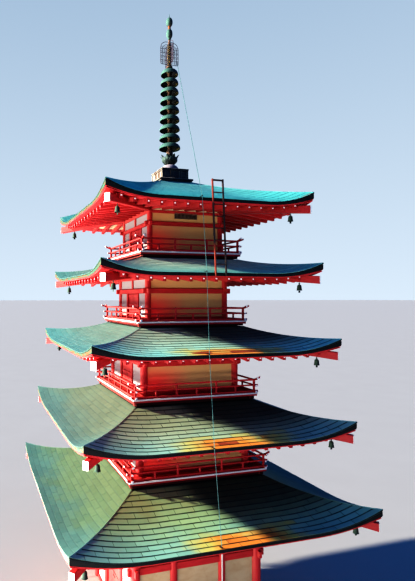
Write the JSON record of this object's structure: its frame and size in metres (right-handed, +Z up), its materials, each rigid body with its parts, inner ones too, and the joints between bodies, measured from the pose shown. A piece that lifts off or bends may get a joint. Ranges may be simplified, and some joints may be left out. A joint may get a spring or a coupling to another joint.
{
  "type": "five-storey pagoda",
  "caption": "Tiered timber tower with curved copper roofs, railed balconies, plaster walls, corner bells and a tall ringed bronze spire.",
  "frame": {"origin": "middle of the podium's underside, on the ground", "axes": "+Z up the spire, -Y out of the front face that carries the ladder, +X to the right seen from the front"},
  "size_m": [8.4, 8.4, 19.5],
  "materials": {
    "stone": "dressed grey stone, matt",
    "lacquer": "vermilion painted timber, slightly weathered",
    "plaster": "smooth cream lime plaster, matt",
    "copper": "weathered copper sheet with green patina",
    "bronze": "dark patinated bronze",
    "iron": "dark painted iron with rust"
  },
  "bodies": {
    "root": {"podium": "stone", "frame_1": "lacquer", "walls_1": "plaster", "door_left_1": "lacquer", "door_right_1": "lacquer", "eaves_1": "lacquer", "roof_1": "copper", "balcony_2": "lacquer", "frame_2": "lacquer", "walls_2": "plaster", "door_left_2": "lacquer", "door_right_2": "lacquer", "railing_2": "lacquer", "eaves_2": "lacquer", "roof_2": "copper", "balcony_3": "lacquer", "frame_3": "lacquer", "walls_3": "plaster", "door_left_3": "lacquer", "door_right_3": "lacquer", "railing_3": "lacquer", "eaves_3": "lacquer", "roof_3": "copper", "balcony_4": "lacquer", "frame_4": "lacquer", "walls_4": "plaster", "door_left_4": "lacquer", "door_right_4": "lacquer", "railing_4": "lacquer", "eaves_4": "lacquer", "roof_4": "copper", "balcony_5": "lacquer", "frame_5": "lacquer", "walls_5": "plaster", "door_left_5": "lacquer", "door_right_5": "lacquer", "railing_5": "lacquer", "eaves_5": "lacquer", "roof_5": "copper", "vent_grille": "iron", "ladder": "iron", "lightning_wire": "iron", "down_pipe": "iron", "spire_base": "bronze", "spire_bowl": "bronze", "spire_rings": "bronze", "spire_flame": "bronze", "spire_jewel": "bronze"}
  },
  "joints": []
}
